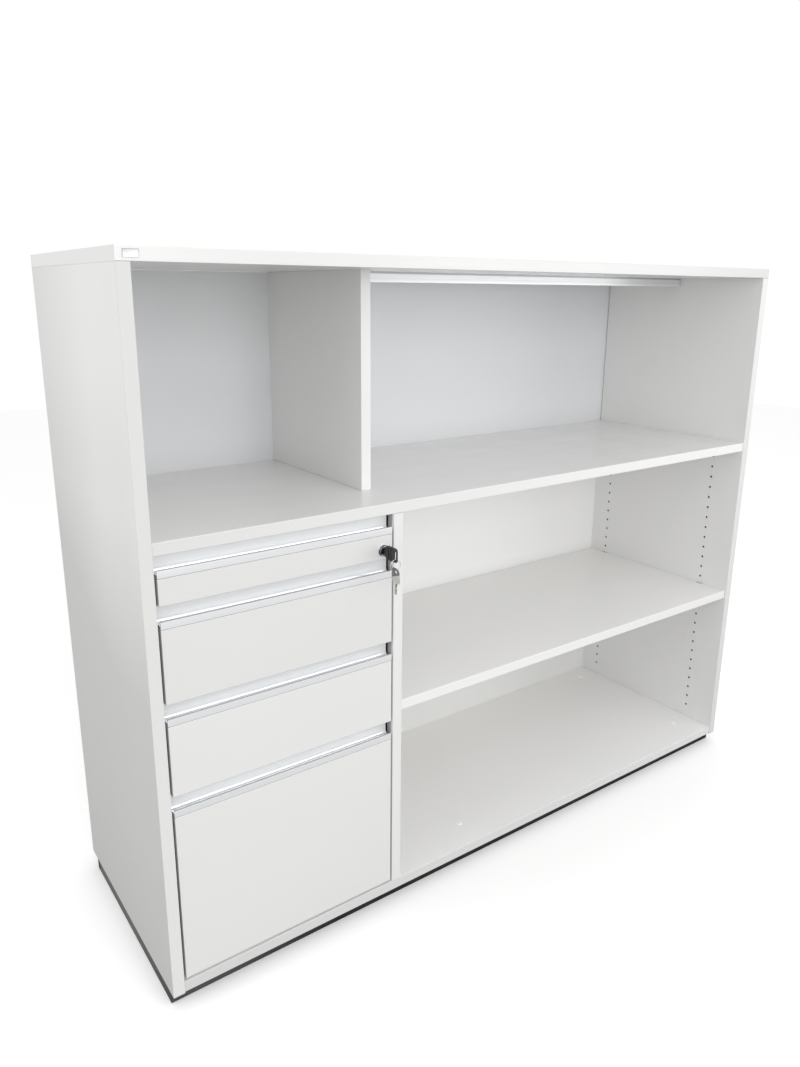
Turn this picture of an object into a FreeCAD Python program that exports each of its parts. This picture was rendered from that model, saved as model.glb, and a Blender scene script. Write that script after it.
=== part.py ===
# Office sideboard: a white board carcass on a dark plinth, with an open upper row, an open bay
# with one adjustable shelf, and a stack of four drawers with grip rails and one central lock.
# Millimetres, +Z up, front towards -Y, origin on the floor under the middle of the carcass.
import FreeCAD
import Part
import math
import os

# Boards and bays
board = 19.0                      # thickness of every melamine-faced board
drawer_bay_width = 400.0          # clear width of the drawer stack's bay
open_bay_width = 960.0            # clear width of the bay with the adjustable shelf
carcass_depth = 434.0
upper_bay_height = 363.0          # clear height above the fixed middle shelf
lower_bay_height = 705.0          # clear height between bottom panel and middle shelf
edge_round = 1.0                  # rounding of the edge bands
inner_setback = 2.0               # inner boards stand this far behind the side panels' front edges
upper_divider_setback = 98.0

# Back panels
back_thickness = 8.0
back_inset = 2.0                  # back panels' rear face to the carcass's rear edge
back_slit = 1.5                   # open slit in front of the upper back panel, along the sides
back_hold = 9.0                   # width of each side's rebate for the back panels
back_edge_gap = 0.5               # play around the back panels' edges

# Plinth and levellers
plinth_height = 25.0
plinth_board = 16.0
plinth_front_setback = 18.0
plinth_side_setback = 1.5
plinth_rear_setback = 24.0
floor_gap = 1.0                   # the plinth stays this far off the floor, on its feet
leveller_from_side = 78.0
leveller_from_front = 65.0
leveller_from_rear = 57.0
leveller_from_divider = 194.5     # middle pair, right of the lower divider
foot_pad_radius = 15.0
foot_pad_height = 6.0
spindle_radius = 5.0
spindle_in_panel = 4.0            # how far the spindle reaches into the bottom panel
socket_flange_radius = 15.0
socket_flange = 3.0
socket_sleeve_radius = 8.0
socket_sleeve = 9.0
access_hole_radius = 5.2
cap_radius = 7.0
cap_head = 1.2
cap_plug = 6.0
running_clearance = 0.05          # radial play of pins, spindles and cylinders in their holes

# Wooden dowels between the boards
dowel_radius = 4.0
dowel_in_face = 12.0
dowel_in_edge = 18.0
dowel_end_gap = 0.5
dowel_from_front = 60.0
dowel_from_rear = 64.0
divider_dowel_from_front = 100.0
divider_dowel_from_rear = 74.0
upper_dowel_from_front = 165.0
upper_dowel_from_rear = 34.0
plinth_dowel_from_end = 180.0
plinth_side_dowel_from_end = 75.0

# Screws
screw_radius = 1.75
screw_head_radius = 3.5
screw_head = 2.2
back_screw_length = 26.0
back_screw_from_end = 120.0
back_screw_count = 5
rail_screw_length = 15.0
rail_screw_from_end = 60.0
rail_screw_count = 4
front_screw_length = 15.0
front_screw_from_side = 40.0
front_screw_from_edge = 13.0

# Shelf-pin holes, adjustable shelf and its supports
pin_hole_radius = 2.5
pin_hole_depth = 10.0
pin_pitch = 25.0
pin_first = 32.0                  # lowest hole above the bottom panel
pin_top_margin = 20.0             # least distance from the highest hole to the middle shelf
pin_row_front = 74.0
pin_row_spacing = 300.0
shelf_hole = 13                   # the hole, counted from the lowest as 0, that holds the shelf
shelf_side_gap = 0.5
shelf_front_setback = 4.0
shelf_rear_gap = 1.5
shelf_pin_height = 12.0           # pin axis above the shelf's underside
support_reach = 9.0               # how far a support pin reaches into the shelf
support_end_gap = 0.5
support_clearance = 0.3
notch_width = 20.0                # shallow curved notch in the shelf's end at each support
notch_depth = 3.5
support_drop = 0.2                # support collar below the shelf's top

# Stiffener rail under the top panel, and bare plate on the top panel's front edge
rail_height = 18.0
rail_sheet = 1.5
rail_top_flange = 26.0
rail_bottom_flange = 12.0
rail_setback = 210.0
rail_end_gap = 4.0
plate_width = 20.6
plate_height = 10.4
plate_thickness = 0.8
plate_from_left = 9.4

# Drawer fronts and grip rails
drawer_modules = (75.0, 150.0, 150.0)   # the lowest drawer takes the rest of the bay's height
lowest_module_gap = 4.0           # lowest drawer's module above the bottom panel
front_side_gap = 4.0
front_setback = 1.0
front_gap = 2.0                   # front's lower edge above its module's lower line
grip_gap = 20.2                   # open height above the grip's lip
lip_height = 12.8
lip_thickness = 2.0
grip_wall = 1.5
grip_floor = 9.8                  # trough floor above the front board's top edge
grip_curve = 6.0                  # radius of the trough's rear curve
grip_top_gap = 1.5                # grip's upper edge below its module's upper line

# Sheet-steel drawer boxes and telescopic runners
box_sheet = 1.0
box_side_gap = 10.5               # room for the runners on each side
box_lift = 8.0                    # box floor above the front's lower edge
box_top_gap = 12.0                # box rim below its module's upper line
box_length = 380.0
runner_height = 27.0
runner_sheet = 1.2
runner_length = 350.0
runner_setback = 46.0             # runner's front end behind the carcass's front
runner_gap = 0.3                  # sliding play between runner members
runner_web_gap = 0.6
runner_drop = 3.0                 # runner below the box's rim
runner_flange_gap = 2.0           # runner flanges stop short of the box's side
file_rail_spacing = 330.0
file_rail_thickness = 3.0
file_rail_height = 14.0
file_rail_drop = 6.0              # file rails below the box's rim
file_rail_end_gap = 0.2

# Lock, key and locking bar
lock_from_divider = 22.0
lock_height = 15.0                # lock axis above the top front's lower edge
rosette_radius = 10.3
rosette_thickness = 3.0
rosette_round = 1.0
barrel_radius = 8.5
barrel_clearance = 0.1
core_radius = 6.0
core_proud = 0.7                  # core's face in front of the rosette
core_tail = 5.5                   # core behind the front board
driver_radius = 1.5
driver_throw = 6.0                # bolt travel for a quarter turn of the key
driver_length = 5.0
driver_play = 0.35
bolt_thickness = 2.5
bolt_from_front_board = 7.0
bolt_tongue_low = 3.5             # tongue's lower edge below the lock axis
bolt_tongue_high = 5.0            # tongue's upper edge above the lock axis
bolt_plate_high = 12.0
bolt_plate_half = 6.0
bolt_tip_reach = 2.5              # bolt tip outside the box's side at rest
lock_play = 0.3
window_radius = 8.0               # round window for the lock in the top box's front
case_wall = 1.5
case_depth = 12.0
case_left = 12.0                  # lock case's closed end left of the lock axis
bar_thickness = 3.0
bar_width = 14.0
bar_setback = 26.0
bar_recess = 0.3
bar_tail = 25.0                   # bar below its lowest tab
bar_head = 14.0                   # bar above its highest tab
tab_reach = 10.0
tab_height = 8.0
tab_from_bar_front = 4.5
tab_width = 3.5
tab_gap = 1.5                     # free height between a tab and its catch, and free depth behind it
lug_reach = 9.0
catch_reach = 6.0
catch_height = 6.0
catch_width = 3.0
catch_drop = 2.0                  # catch below the runner
guide_thickness = 2.0
guide_height = 10.0
guide_overlap = 5.0
guide_drop = 4.0                  # guide below its tab
keyway_half_width = 1.25
keyway_half_height = 4.2
blade_half_width = 1.1
blade_half_height = 4.0
blade_in_core = 15.0
blade_in_neck = 10.0
key_thickness = 4.4               # neck and hinge knuckles
head_thickness = 2.6
neck_start = 4.5                  # distances from the drawer front's face
neck_shoulder = 14.0
neck_half_height = 5.6
key_fold = 21.4
key_end = 39.3
key_half_height = 11.8
key_corner = 4.5
knuckle_half = 4.5
knuckle_reach = 11.6
knuckle_gap = 0.3
hinge_pin_radius = 0.8
ring_slot_from_end = 1.8
ring_slot_width = 6.3
ring_slot_half = 7.0
ring_radius = 4.0
ring_wire = 0.7                   # radius of the ring's wire

# Places worked out from the sizes above
width = 3 * board + drawer_bay_width + open_bay_width
left = -width / 2
right = width / 2
drawer_left = left + board
drawer_right = drawer_left + drawer_bay_width
bay_left = drawer_right + board
bay_right = bay_left + open_bay_width
front = -carcass_depth / 2
rear = carcass_depth / 2
back_face = rear - back_inset - back_thickness
base = floor_gap + plinth_height
bottom_top = base + board
middle_under = bottom_top + lower_bay_height
middle_top = middle_under + board
top_under = middle_top + upper_bay_height
top = top_under + board
plinth_left = left + plinth_side_setback
plinth_right = right - plinth_side_setback
plinth_front = front + plinth_front_setback
plinth_rear = rear - plinth_rear_setback
divider_middle = drawer_right + board / 2
middle_seam = middle_under + board / 2
pin_count = int((lower_bay_height - pin_first - pin_top_margin) // pin_pitch) + 1
shelf_pin_z = bottom_top + pin_first + shelf_hole * pin_pitch
shelf_under = shelf_pin_z - shelf_pin_height
shelf_top = shelf_under + board
face = front + front_setback
face_back = face + board
front_left = drawer_left + front_side_gap
front_right = drawer_right - front_side_gap
box_left = drawer_left + box_side_gap
box_right = drawer_right - box_side_gap
bar_front = front + bar_setback


def block(x0, x1, y0, y1, z0, z1):
    """Straight block between two corners."""
    return Part.makeBox(x1 - x0, y1 - y0, z1 - z0, FreeCAD.Vector(x0, y0, z0))


def rod(start, direction, radius, length):
    """Round bar from a point along a direction."""
    return Part.makeCylinder(radius, length, FreeCAD.Vector(*start), FreeCAD.Vector(*direction))


def plate(points, axis, start, thickness):
    """Flat plate of a straight-sided outline. axis is the letter of the direction it is extruded in."""
    def place(pair):
        u, v = pair
        return {"x": FreeCAD.Vector(start, u, v), "y": FreeCAD.Vector(u, start, v)}[axis]
    corners = [place(pair) for pair in points]
    outline = Part.makePolygon(corners + corners[:1])
    way = {"x": FreeCAD.Vector(thickness, 0, 0), "y": FreeCAD.Vector(0, thickness, 0)}[axis]
    return Part.Face(outline).extrude(way)


def cut_all(shape, tools):
    """Cut every tool out of a shape."""
    return shape.cut(Part.makeCompound(tools)) if tools else shape


def spread(start, end, count):
    """Evenly spaced places from start to end."""
    step = (end - start) / (count - 1)
    return [start + step * i for i in range(count)]


def round_edges(shape, radius, chosen):
    """Round the straight edges whose two ends satisfy a test."""
    edges = [e for e in shape.Edges if all(chosen(v.Point) for v in e.Vertexes)]
    return shape.makeFillet(radius, edges)


def round_front(shape, along, y):
    """Round the edges of a board's front face at y that run along X or along Z."""
    def is_long(edge):
        a, b = (v.Point for v in edge.Vertexes)
        on_front = abs(a.y - y) < edge_round and abs(b.y - y) < edge_round
        return on_front and abs(getattr(a, along) - getattr(b, along)) > edge_round
    return shape.makeFillet(edge_round, [e for e in shape.Edges if is_long(e)])


def aim(shape, position, direction):
    """Turn a piece that was made along +Z to a direction, and put it in place."""
    turn = FreeCAD.Rotation(FreeCAD.Vector(0, 0, 1), FreeCAD.Vector(*direction))
    placed = shape.copy()
    placed.Placement = FreeCAD.Placement(FreeCAD.Vector(*position), turn)
    return placed


os.makedirs("parts", exist_ok=True)


def save(name, shapes):
    """Write one node as one or more separate solids."""
    solids = shapes if isinstance(shapes, list) else [shapes]
    node = solids[0] if len(solids) == 1 else Part.makeCompound(solids)
    node.exportStep("parts/" + name + ".step")


# Dowels: a list of glue-up places, each the middle of a joint and the way into the board's edge.
def dowel_places():
    places = []
    for y in spread(front + dowel_from_front, back_face - dowel_from_rear, 3):
        for x in (left + board / 2, right - board / 2):
            places.append(((x, y, top_under), (0, 0, -1)))
        for z in (base + board / 2, middle_seam):
            places.append(((drawer_left, y, z), (1, 0, 0)))
            places.append(((bay_right, y, z), (-1, 0, 0)))
    for y in spread(front + upper_dowel_from_front, back_face - upper_dowel_from_rear, 3):
        places.append(((divider_middle, y, top_under), (0, 0, -1)))
        places.append(((divider_middle, y, middle_top), (0, 0, 1)))
    for y in spread(front + divider_dowel_from_front, back_face - divider_dowel_from_rear, 3):
        places.append(((divider_middle, y, middle_under), (0, 0, -1)))
        places.append(((divider_middle, y, bottom_top), (0, 0, 1)))
    for x in spread(left + plinth_dowel_from_end, right - plinth_dowel_from_end, 4):
        for y in (plinth_front + plinth_board / 2, plinth_rear - plinth_board / 2):
            places.append(((x, y, base), (0, 0, -1)))
    side_front = plinth_front + plinth_board + plinth_side_dowel_from_end
    side_rear = plinth_rear - plinth_board - plinth_side_dowel_from_end
    for y in (side_front, side_rear):
        for x in (left + board / 2, right - board / 2):
            places.append(((x, y, base), (0, 0, -1)))
    return places


def dowel(place, extra_radius, extra_length):
    point, way = place
    back = dowel_in_face + extra_length
    start = [p - w * back for p, w in zip(point, way)]
    return rod(start, way, dowel_radius + extra_radius, back + dowel_in_edge + extra_length)


dowels = [dowel(place, 0, 0) for place in dowel_places()]
dowel_holes = [dowel(place, running_clearance, dowel_end_gap) for place in dowel_places()]


# Screws: one turned shape for each length, with a matching hole shape.
def countersunk_screw(length, extra):
    """Flat-headed screw with its head's face at the origin, pointing along +Z."""
    r = screw_radius + extra
    head = screw_head_radius + extra
    points = [(0, 0), (head, 0), (r, screw_head), (r, length - screw_head + extra), (0, length + extra)]
    outline = Part.makePolygon([FreeCAD.Vector(x, 0, z) for x, z in points + points[:1]])
    return Part.Face(outline).revolve(FreeCAD.Vector(0, 0, 0), FreeCAD.Vector(0, 0, 1), 360)


def pan_screw(length, extra):
    """Round-headed screw with its shank starting at the origin along +Z and its head behind it."""
    shank = rod((0, 0, 0), (0, 0, 1), screw_radius + extra, length + extra)
    head = rod((0, 0, 0), (0, 0, -1), screw_head_radius + extra, screw_head)
    return shank.fuse(head).removeSplitter()


def back_screw_places():
    places = []
    quarter = board / 4
    for x in spread(left + back_screw_from_end, right - back_screw_from_end, back_screw_count):
        for z in (base + board / 2, middle_under + quarter, middle_top - quarter):
            places.append(((x, rear - back_inset, z), (0, -1, 0)))
    for low, high in ((bottom_top, middle_under), (middle_top, top_under)):
        third = (high - low) / 3
        for z in (low + third, high - third):
            places.append(((divider_middle, rear - back_inset, z), (0, -1, 0)))
    return places


def rail_screw_places():
    y = front + rail_setback + rail_top_flange / 2
    ends = (bay_left + rail_end_gap + rail_screw_from_end, bay_right - rail_end_gap - rail_screw_from_end)
    return [((x, y, top_under - rail_sheet), (0, 0, 1)) for x in spread(ends[0], ends[1], rail_screw_count)]


back_screws = [aim(countersunk_screw(back_screw_length, 0), *place) for place in back_screw_places()]
back_screw_holes = [aim(countersunk_screw(back_screw_length, running_clearance), *place)
                    for place in back_screw_places()]
rail_screws = [aim(countersunk_screw(rail_screw_length, 0), *place) for place in rail_screw_places()]
rail_screw_holes = [aim(countersunk_screw(rail_screw_length, running_clearance), *place)
                    for place in rail_screw_places()]


# Shelf-pin holes: two rows in the right side panel and two in the lower divider, facing the open bay.
def pin_rows():
    return (front + pin_row_front, front + pin_row_front + pin_row_spacing)


def pin_holes(x, way):
    heights = [bottom_top + pin_first + pin_pitch * i for i in range(pin_count)]
    return [rod((x, y, z), (way, 0, 0), pin_hole_radius, pin_hole_depth) for y in pin_rows() for z in heights]


# Levelling feet, set near the corners and right of the divider.
def leveller_places():
    xs = (left + leveller_from_side, bay_left + leveller_from_divider, right - leveller_from_side)
    ys = (front + leveller_from_front, rear - leveller_from_rear)
    return [(x, y) for x in xs for y in ys]


# Carcass boards
def make_top_panel():
    panel = block(left, right, front, rear, top_under, top)
    panel = round_edges(panel, edge_round, lambda p: p.y < front + edge_round)
    return cut_all(panel, dowel_holes + rail_screw_holes)


def make_side_panel(inner, outer):
    """Side panel from its inner face to its outer face, with a rear rebate for the back panels."""
    low, high = min(inner, outer), max(inner, outer)
    panel = round_front(block(low, high, front, rear, base, top_under), "z", front)
    rebate_end = inner + math.copysign(back_hold, outer - inner)
    near, far = min(inner, rebate_end), max(inner, rebate_end)
    rebate = block(near, far, back_face, rear, base, top_under)
    slit = block(near, far, back_face - back_slit, back_face, middle_top, top_under)
    return cut_all(panel.cut(rebate).cut(slit), dowel_holes)


def make_right_side_panel():
    return cut_all(make_side_panel(bay_right, right), pin_holes(bay_right, 1))


def make_bottom_panel():
    panel = round_front(block(drawer_left, bay_right, front + inner_setback, back_face, base, bottom_top),
                        "x", front + inner_setback)
    holes = [rod((x, y, base), (0, 0, 1), access_hole_radius, board) for x, y in leveller_places()]
    return cut_all(panel, dowel_holes + back_screw_holes + holes)


def make_middle_shelf():
    panel = block(drawer_left, bay_right, front + inner_setback, back_face, middle_under, middle_top)
    return cut_all(round_front(panel, "x", front + inner_setback), dowel_holes + back_screw_holes)


def make_upper_divider():
    start = front + upper_divider_setback
    panel = round_front(block(drawer_right, bay_left, start, back_face, middle_top, top_under), "z", start)
    return cut_all(panel, dowel_holes + back_screw_holes)


def make_lower_divider():
    start = front + inner_setback
    panel = round_front(block(drawer_right, bay_left, start, back_face, bottom_top, middle_under), "z", start)
    groove = block(drawer_right, drawer_right + bar_recess + bar_thickness + lock_play,
                   bar_front - lock_play, bar_front + bar_width + lock_play, bottom_top, middle_under)
    return cut_all(panel, dowel_holes + back_screw_holes + [groove] + pin_holes(bay_left, -1))


def make_back_panel(low, high):
    edge = back_hold - back_edge_gap
    panel = block(drawer_left - edge, bay_right + edge, back_face, back_face + back_thickness, low, high)
    return cut_all(panel, back_screw_holes)


save("top_panel", make_top_panel())
save("left_side_panel", make_side_panel(drawer_left, left))
save("right_side_panel", make_right_side_panel())
save("bottom_panel", make_bottom_panel())
save("middle_shelf", make_middle_shelf())
save("upper_divider", make_upper_divider())
save("lower_divider", make_lower_divider())
save("upper_back_panel", make_back_panel(middle_seam + back_edge_gap / 2, top_under - back_edge_gap))
save("lower_back_panel", make_back_panel(base + back_edge_gap, middle_seam - back_edge_gap / 2))
save("carcass_dowels", dowels)
save("back_panel_screws", back_screws)


# Plinth: a frame of four dark boards under the carcass
def make_plinth_board(x0, x1, y0, y1):
    return cut_all(block(x0, x1, y0, y1, floor_gap, base), dowel_holes)


plinth_inner_front = plinth_front + plinth_board
plinth_inner_rear = plinth_rear - plinth_board
save("plinth_front_board", make_plinth_board(plinth_left, plinth_right, plinth_front, plinth_inner_front))
save("plinth_rear_board", make_plinth_board(plinth_left, plinth_right, plinth_inner_rear, plinth_rear))
save("plinth_left_board", make_plinth_board(plinth_left, plinth_left + plinth_board,
                                            plinth_inner_front, plinth_inner_rear))
save("plinth_right_board", make_plinth_board(plinth_right - plinth_board, plinth_right,
                                             plinth_inner_front, plinth_inner_rear))


# Levellers: a flanged socket under the bottom panel, a screw foot in it, and a push-in cap on top
def make_leveller_socket(x, y):
    flange = rod((x, y, base - socket_flange), (0, 0, 1), socket_flange_radius, socket_flange)
    sleeve_end = base - socket_flange - socket_sleeve
    sleeve = rod((x, y, sleeve_end), (0, 0, 1), socket_sleeve_radius, socket_sleeve)
    bore = rod((x, y, sleeve_end), (0, 0, 1), spindle_radius + running_clearance, base - sleeve_end)
    return flange.fuse(sleeve).removeSplitter().cut(bore)


def make_leveller_foot(x, y):
    pad = rod((x, y, 0), (0, 0, 1), foot_pad_radius, foot_pad_height)
    pad = round_edges(pad, edge_round, lambda p: p.z > foot_pad_height - edge_round)
    spindle_end = base + spindle_in_panel
    spindle = rod((x, y, foot_pad_height), (0, 0, 1), spindle_radius, spindle_end - foot_pad_height)
    return pad.fuse(spindle).removeSplitter()


def make_leveller_cap(x, y):
    head = rod((x, y, bottom_top), (0, 0, 1), cap_radius, cap_head)
    head = round_edges(head, cap_head / 2, lambda p: p.z > bottom_top + cap_head / 2)
    plug = rod((x, y, bottom_top - cap_plug), (0, 0, 1), access_hole_radius - running_clearance, cap_plug)
    return head.fuse(plug).removeSplitter()


save("leveller_sockets", [make_leveller_socket(x, y) for x, y in leveller_places()])
save("leveller_feet", [make_leveller_foot(x, y) for x, y in leveller_places()])
save("leveller_caps", [make_leveller_cap(x, y) for x, y in leveller_places()])


# Adjustable shelf: its ends have a shallow curved notch and a slot from below at each support
notch_radius = ((notch_width / 2) ** 2 + notch_depth ** 2) / (2 * notch_depth)


def shelf_ends():
    """End face of the shelf, the bay's wall beside it, and the way from the wall into the shelf."""
    return ((bay_left + shelf_side_gap, bay_left, 1), (bay_right - shelf_side_gap, bay_right, -1))


def make_adjustable_shelf():
    start = front + shelf_front_setback
    end = back_face - shelf_rear_gap
    shelf = block(bay_left + shelf_side_gap, bay_right - shelf_side_gap, start, end, shelf_under, shelf_top)
    shelf = round_front(shelf, "x", start)
    tools = []
    pin_radius = pin_hole_radius - running_clearance
    for shelf_end, wall, way in shelf_ends():
        for y in pin_rows():
            notch_middle = shelf_end - way * (notch_radius - notch_depth)
            tools.append(rod((notch_middle, y, shelf_under), (0, 0, 1), notch_radius, board))
            reach = wall + way * (support_reach + support_end_gap)
            half = pin_radius + support_clearance
            tools.append(block(min(wall, reach), max(wall, reach), y - half, y + half,
                               shelf_under, shelf_pin_z + pin_radius + support_clearance))
    return cut_all(shelf, tools)


def make_shelf_support(shelf_end, wall, way, y):
    """Pin in the wall's hole with a curved collar that fills the shelf's notch."""
    pin_radius = pin_hole_radius - running_clearance
    pin_in_wall = pin_hole_depth - support_end_gap
    pin_start = (wall - way * pin_in_wall, y, shelf_pin_z)
    pin = rod(pin_start, (way, 0, 0), pin_radius, pin_in_wall + support_reach)
    notch_middle = shelf_end - way * (notch_radius - notch_depth)
    collar_top = shelf_top - support_drop
    collar_radius = notch_radius - support_clearance
    collar = rod((notch_middle, y, shelf_under), (0, 0, 1), collar_radius, collar_top - shelf_under)
    outside = wall - way * 2 * notch_radius
    keep_out = block(min(wall, outside), max(wall, outside), y - 2 * notch_radius, y + 2 * notch_radius,
                     shelf_under, collar_top)
    return collar.cut(keep_out).fuse(pin).removeSplitter()


save("adjustable_shelf", make_adjustable_shelf())
save("shelf_supports", [make_shelf_support(*shelf_end, y) for shelf_end in shelf_ends() for y in pin_rows()])


# Stiffener rail under the top panel, folded from sheet, with its screws
def make_stiffener_rail():
    y = front + rail_setback
    web_back = y + rail_sheet
    low = top_under - rail_height
    flange_back = y + rail_top_flange
    outline = [(y, top_under), (flange_back, top_under), (flange_back, top_under - rail_sheet),
               (web_back, top_under - rail_sheet), (web_back, low + rail_sheet),
               (y + rail_bottom_flange, low + rail_sheet), (y + rail_bottom_flange, low), (y, low)]
    start = bay_left + rail_end_gap
    rail = plate(outline, "x", start, open_bay_width - 2 * rail_end_gap)
    return cut_all(rail, rail_screw_holes)


def make_name_plate():
    x = left + plate_from_left
    z = (top_under + top - plate_height) / 2
    return block(x, x + plate_width, front - plate_thickness, front, z, z + plate_height)


save("stiffener_rail", make_stiffener_rail())
save("stiffener_rail_screws", rail_screws)
save("bare_name_plate", make_name_plate())


# Drawers: module lines from the middle shelf downwards
lowest_line = bottom_top + lowest_module_gap
module_lines = [middle_under]
for module in drawer_modules:
    module_lines.append(module_lines[-1] - module)
module_lines.append(lowest_line)


class Drawer:
    """Heights of one drawer, from its module's upper and lower lines."""

    def __init__(self, number):
        self.number = number
        self.line = module_lines[number - 1]
        self.front_low = module_lines[number] + front_gap
        self.front_high = self.line - grip_gap - lip_height
        self.box_low = self.front_low + box_lift
        self.box_high = self.line - box_top_gap
        self.runner_high = self.box_high - runner_drop
        self.runner_low = self.runner_high - runner_height
        self.catch_high = self.runner_low - catch_drop
        self.tab_high = self.catch_high - catch_height - tab_gap


drawers = [Drawer(number) for number in range(1, len(module_lines))]
lock_x = drawer_right - lock_from_divider
lock_z = drawers[0].front_low + lock_height
tongue_low = lock_z - bolt_tongue_low
tongue_high = lock_z + bolt_tongue_high
bolt_front = face_back + bolt_from_front_board
bolt_back = bolt_front + bolt_thickness
bolt_tip = box_right + bolt_tip_reach


def front_screws(drawer, extra):
    """Screws from inside a drawer's box into its front, or their holes when made larger by extra."""
    xs = (box_left + front_screw_from_side, box_right - front_screw_from_side)
    zs = (drawer.front_low + front_screw_from_edge, drawer.front_high - front_screw_from_edge)
    screw = pan_screw(front_screw_length, extra)
    return [aim(screw, (x, face_back + box_sheet, z), (0, -1, 0)) for x in xs for z in zs]


def make_front(drawer):
    panel = block(front_left, front_right, face, face_back, drawer.front_low, drawer.front_high)
    panel = round_edges(panel, edge_round, lambda p: p.y < face + edge_round)
    tools = front_screws(drawer, running_clearance)
    if drawer.number == 1:
        tools.append(rod((lock_x, face, lock_z), (0, 1, 0), barrel_radius + barrel_clearance, board))
    return cut_all(panel, tools)


def make_grip(drawer):
    """Extruded grip rail: a lip in the front's plane, a curved trough and a rear wall, hollow underneath."""
    wall_front = board - grip_wall
    centre_y = wall_front - grip_curve
    centre_z = grip_floor + grip_curve
    height = drawer.line - grip_top_gap - drawer.front_high
    lip_round = lip_thickness / 2
    outer = grip_curve + grip_wall
    outer_angle = -math.acos(grip_curve / outer)

    def point(y, z):
        return FreeCAD.Vector(front_left, face + y, drawer.front_high + z)

    def on_curve(radius, angle):
        return point(centre_y + radius * math.cos(angle), centre_z + radius * math.sin(angle))

    down = -math.pi / 2
    inner_arc = Part.Arc(on_curve(grip_curve, down), on_curve(grip_curve, down / 2), on_curve(grip_curve, 0))
    outer_arc = Part.Arc(on_curve(outer, outer_angle), on_curve(outer, (outer_angle + down) / 2),
                         on_curve(outer, down))
    lip_arc = Part.Arc(point(0, lip_height - lip_round), point(lip_round, lip_height),
                       point(lip_thickness, lip_height - lip_round))
    front_run = [point(0, 0), point(0, lip_height - lip_round)]
    floor_run = [point(lip_thickness, lip_height - lip_round), point(lip_thickness, grip_floor),
                 on_curve(grip_curve, down)]
    rear_run = [on_curve(grip_curve, 0), point(wall_front, height), point(board, height), point(board, 0),
                point(wall_front, 0), on_curve(outer, outer_angle)]
    under_run = [on_curve(outer, down), point(lip_thickness, grip_floor - grip_wall), point(lip_thickness, 0),
                 point(0, 0)]
    edges = []
    for run, arc in ((front_run, lip_arc), (floor_run, inner_arc), (rear_run, outer_arc), (under_run, None)):
        edges += [Part.LineSegment(a, b).toShape() for a, b in zip(run, run[1:])]
        if arc:
            edges.append(arc.toShape())
    section = Part.Face(Part.Wire(edges))
    return section.extrude(FreeCAD.Vector(front_right - front_left, 0, 0))


def make_box(drawer):
    """Open sheet-steel box with a catch for the locking bar on its right side."""
    back = face_back + box_length
    box = block(box_left, box_right, face_back, back, drawer.box_low, drawer.box_high)
    inside = block(box_left + box_sheet, box_right - box_sheet, face_back + box_sheet, back - box_sheet,
                   drawer.box_low + box_sheet, drawer.box_high)
    catch_y = bar_front + tab_from_bar_front + tab_width + tab_gap
    catch = block(box_right - box_sheet, box_right + catch_reach, catch_y, catch_y + catch_width,
                  drawer.catch_high - catch_height, drawer.catch_high)
    box = box.cut(inside).fuse(catch).removeSplitter()
    tools = front_screws(drawer, running_clearance)
    if drawer.number == 1:
        tools.append(rod((lock_x, face_back, lock_z), (0, 1, 0), window_radius, box_sheet))
        tools.append(block(box_right - box_sheet, box_right, bolt_front - lock_play, bolt_back + lock_play,
                           tongue_low - lock_play, tongue_high + lock_play))
    return cut_all(box, tools)


def runner_channel(drawer, wall, way, web, flange_start, flange_end, half):
    """One C-shaped runner member; its distances run outwards from the box's side at wall."""
    middle = (drawer.runner_low + drawer.runner_high) / 2
    y0 = front + runner_setback
    y1 = y0 + runner_length

    def strip(u0, u1, z0, z1):
        a, b = wall + way * u0, wall + way * u1
        return block(min(a, b), max(a, b), y0, y1, middle + z0, middle + z1)

    channel = strip(web, web + runner_sheet, -half, half)
    for z0, z1 in ((half - runner_sheet, half), (-half, runner_sheet - half)):
        channel = channel.fuse(strip(flange_start, flange_end, z0, z1))
    return channel.removeSplitter()


def runner_sides():
    return ((box_left, -1), (box_right, 1))


cabinet_half = runner_height / 2
middle_half = cabinet_half - runner_sheet - runner_gap
inner_half = middle_half - runner_sheet - runner_gap
cabinet_web = box_side_gap - runner_sheet
middle_web = cabinet_web - runner_web_gap - runner_sheet


def make_cabinet_runners(drawer):
    return [runner_channel(drawer, wall, way, cabinet_web, runner_flange_gap, box_side_gap, cabinet_half)
            for wall, way in runner_sides()]


def make_middle_runners(drawer):
    outside = middle_web + runner_sheet
    return [runner_channel(drawer, wall, way, middle_web, runner_flange_gap, outside, middle_half)
            for wall, way in runner_sides()]


def make_drawer_runners(drawer):
    return [runner_channel(drawer, wall, way, 0, 0, middle_web - runner_web_gap, inner_half)
            for wall, way in runner_sides()]


def make_file_rails(drawer):
    """Two flat bars along the deep drawer's box, for hanging files."""
    y0 = face_back + box_sheet + file_rail_end_gap
    y1 = face_back + box_length - box_sheet - file_rail_end_gap
    z1 = drawer.box_high - file_rail_drop
    middle = (box_left + box_right) / 2
    half = file_rail_thickness / 2
    return [block(middle + side - half, middle + side + half, y0, y1, z1 - file_rail_height, z1)
            for side in (-file_rail_spacing / 2, file_rail_spacing / 2)]


cabinet_runners = []
for drawer in drawers:
    name = "drawer_%d_" % drawer.number
    save(name + "front", make_front(drawer))
    save(name + "grip_rail", make_grip(drawer))
    save(name + "box", make_box(drawer))
    save(name + "front_screws", front_screws(drawer, 0))
    save(name + "runners_inner", make_drawer_runners(drawer))
    save(name + "runners_middle", make_middle_runners(drawer))
    cabinet_runners += make_cabinet_runners(drawer)
save("runners_outer", cabinet_runners)
save("hanging_file_rails", make_file_rails(drawers[-1]))


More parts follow.
